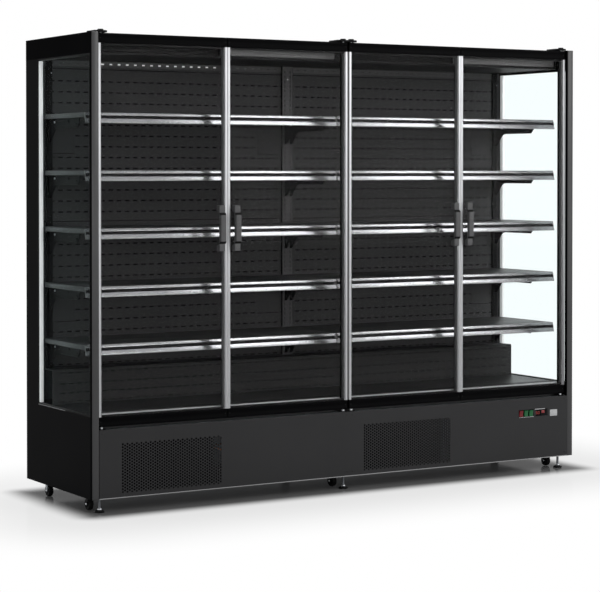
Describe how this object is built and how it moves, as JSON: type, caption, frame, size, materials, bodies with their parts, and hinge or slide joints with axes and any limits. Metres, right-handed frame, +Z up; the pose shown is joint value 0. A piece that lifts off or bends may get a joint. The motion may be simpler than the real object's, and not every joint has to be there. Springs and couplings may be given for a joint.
{
  "type": "multideck display fridge",
  "caption": "Glass-door multideck display fridge with glazed ends, adjustable shelves on slotted uprights, base machine compartment, kick panel with grilles and controls.",
  "frame": {"origin": "on the floor, in the middle of the width and of the depth over the door handles", "axes": "+X to the right of someone facing the doors, +Y from the doors to the back, +Z up"},
  "size_m": [2.5, 0.7, 1.9933],
  "materials": {
    "dark_paint": "dark grey semi-matt powder coat",
    "black_paint": "black semi-matt powder coat",
    "galvanised": "zinc-coated sheet",
    "bright_steel": "bright zinc plate",
    "aluminium": "mill finish fins",
    "black_plastic": "fine matt",
    "grey_plastic": "matt grey moulding",
    "rubber": "matt",
    "red_plastic": "glossy, lit from behind",
    "green_plastic": "glossy, lit from behind",
    "clear_glass": "clear double glazing"
  },
  "bodies": {
    "cabinet": {"base_chassis": "galvanised", "outer_back_panel": "galvanised", "roof_panel": "dark_paint", "left_end_frame": "dark_paint", "right_end_frame": "dark_paint", "left_end_glass": "clear_glass", "right_end_glass": "clear_glass", "kick_panel": "dark_paint", "rear_duct_panel": "black_paint", "base_deck": "galvanised", "canopy": "black_paint", "upright_frame": "black_paint", "thermostat": "black_plastic", "condensing_unit": "black_paint", "evaporator": "aluminium", "shelf_left_1": "black_paint", "shelf_left_2": "black_paint", "shelf_left_3": "black_paint", "shelf_left_4": "black_paint", "shelf_left_5": "black_paint", "shelf_right_1": "black_paint", "shelf_right_2": "black_paint", "shelf_right_3": "black_paint", "shelf_right_4": "black_paint", "shelf_right_5": "black_paint", "top_hinge_left": "black_paint", "bottom_hinge_left": "bright_steel", "top_hinge_centre": "black_paint", "bottom_hinge_centre": "bright_steel", "top_hinge_right": "black_paint", "bottom_hinge_right": "bright_steel"},
    "door_1": {"door_1_frame": "black_paint", "door_1_glass": "clear_glass", "door_1_handle": "grey_plastic"},
    "door_2": {"door_2_frame": "black_paint", "door_2_glass": "clear_glass", "door_2_handle": "grey_plastic"},
    "door_3": {"door_3_frame": "black_paint", "door_3_glass": "clear_glass", "door_3_handle": "grey_plastic"},
    "door_4": {"door_4_frame": "black_paint", "door_4_glass": "clear_glass", "door_4_handle": "grey_plastic"},
    "main_switch": {"main_switch": "red_plastic"},
    "light_switch_left": {"light_switch_left": "green_plastic"},
    "light_switch_right": {"light_switch_right": "green_plastic"},
    "condenser_fan_left": {"condenser_fan_left": "black_plastic"},
    "condenser_fan_right": {"condenser_fan_right": "black_plastic"},
    "levelling_foot_left": {"levelling_foot_left": "black_plastic"},
    "front_caster_fork_left": {"front_caster_fork_left": "galvanised"},
    "front_caster_wheel_left": {"front_caster_wheel_left": "rubber"},
    "rear_caster_wheel_left": {"rear_caster_wheel_left": "rubber"},
    "levelling_foot_centre": {"levelling_foot_centre": "black_plastic"},
    "front_caster_fork_centre": {"front_caster_fork_centre": "galvanised"},
    "front_caster_wheel_centre": {"front_caster_wheel_centre": "rubber"},
    "rear_caster_wheel_centre": {"rear_caster_wheel_centre": "rubber"},
    "levelling_foot_right": {"levelling_foot_right": "black_plastic"},
    "front_caster_fork_right": {"front_caster_fork_right": "galvanised"},
    "front_caster_wheel_right": {"front_caster_wheel_right": "rubber"},
    "rear_caster_wheel_right": {"rear_caster_wheel_right": "rubber"}
  },
  "joints": [
    {"name": "door_1_hinge", "type": "hinge", "parent": "cabinet", "child": "door_1", "pos_m": [-1.197, -0.303, 1.1665], "axis": [0, 0, -1], "range_deg": [0, 90], "stiffness_Nm_per_rad": 2},
    {"name": "door_2_hinge", "type": "hinge", "parent": "cabinet", "child": "door_2", "pos_m": [-0.021, -0.303, 1.1665], "axis": [0, 0, 1], "range_deg": [0, 85], "stiffness_Nm_per_rad": 2},
    {"name": "door_3_hinge", "type": "hinge", "parent": "cabinet", "child": "door_3", "pos_m": [0.021, -0.303, 1.1665], "axis": [0, 0, -1], "range_deg": [0, 85], "stiffness_Nm_per_rad": 2},
    {"name": "door_4_hinge", "type": "hinge", "parent": "cabinet", "child": "door_4", "pos_m": [1.197, -0.303, 1.1665], "axis": [0, 0, 1], "range_deg": [0, 90], "stiffness_Nm_per_rad": 2},
    {"name": "main_switch_rock", "type": "hinge", "parent": "cabinet", "child": "main_switch", "pos_m": [0.946, -0.3285, 0.276], "axis": [-1, 0, 0], "range_deg": [0, 14]},
    {"name": "light_switch_left_rock", "type": "hinge", "parent": "cabinet", "child": "light_switch_left", "pos_m": [0.975, -0.3285, 0.276], "axis": [-1, 0, 0], "range_deg": [0, 14]},
    {"name": "light_switch_right_rock", "type": "hinge", "parent": "cabinet", "child": "light_switch_right", "pos_m": [1.004, -0.3285, 0.276], "axis": [-1, 0, 0], "range_deg": [0, 14]},
    {"name": "condenser_fan_left_spin", "type": "hinge", "parent": "cabinet", "child": "condenser_fan_left", "pos_m": [-0.8815, -0.191, 0.172], "axis": [0, 1, 0], "continuous": true},
    {"name": "condenser_fan_right_spin", "type": "hinge", "parent": "cabinet", "child": "condenser_fan_right", "pos_m": [0.3065, -0.191, 0.172], "axis": [0, 1, 0], "continuous": true},
    {"name": "levelling_foot_left_turn", "type": "hinge", "parent": "cabinet", "child": "levelling_foot_left", "pos_m": [-1.197, -0.285, 0.005], "axis": [0, 0, 1], "continuous": true},
    {"name": "front_caster_swivel_left", "type": "hinge", "parent": "cabinet", "child": "front_caster_fork_left", "pos_m": [-1.209, -0.225, 0.06], "axis": [0, 0, 1], "continuous": true},
    {"name": "front_caster_axle_left", "type": "hinge", "parent": "front_caster_fork_left", "child": "front_caster_wheel_left", "pos_m": [-1.209, -0.21, 0.026], "axis": [1, 0, 0], "continuous": true},
    {"name": "rear_caster_axle_left", "type": "hinge", "parent": "cabinet", "child": "rear_caster_wheel_left", "pos_m": [-1.209, 0.2, 0.025], "axis": [1, 0, 0], "continuous": true},
    {"name": "levelling_foot_centre_turn", "type": "hinge", "parent": "cabinet", "child": "levelling_foot_centre", "pos_m": [-0.008, -0.285, 0.005], "axis": [0, 0, 1], "continuous": true},
    {"name": "front_caster_swivel_centre", "type": "hinge", "parent": "cabinet", "child": "front_caster_fork_centre", "pos_m": [-0.02, -0.225, 0.06], "axis": [0, 0, 1], "continuous": true},
    {"name": "front_caster_axle_centre", "type": "hinge", "parent": "front_caster_fork_centre", "child": "front_caster_wheel_centre", "pos_m": [-0.02, -0.21, 0.026], "axis": [1, 0, 0], "continuous": true},
    {"name": "rear_caster_axle_centre", "type": "hinge", "parent": "cabinet", "child": "rear_caster_wheel_centre", "pos_m": [-0.02, 0.2, 0.025], "axis": [1, 0, 0], "continuous": true},
    {"name": "levelling_foot_right_turn", "type": "hinge", "parent": "cabinet", "child": "levelling_foot_right", "pos_m": [1.197, -0.285, 0.005], "axis": [0, 0, 1], "continuous": true},
    {"name": "front_caster_swivel_right", "type": "hinge", "parent": "cabinet", "child": "front_caster_fork_right", "pos_m": [1.185, -0.225, 0.06], "axis": [0, 0, 1], "continuous": true},
    {"name": "front_caster_axle_right", "type": "hinge", "parent": "front_caster_fork_right", "child": "front_caster_wheel_right", "pos_m": [1.185, -0.21, 0.026], "axis": [1, 0, 0], "continuous": true},
    {"name": "rear_caster_axle_right", "type": "hinge", "parent": "cabinet", "child": "rear_caster_wheel_right", "pos_m": [1.185, 0.2, 0.025], "axis": [1, 0, 0], "continuous": true}
  ]
}
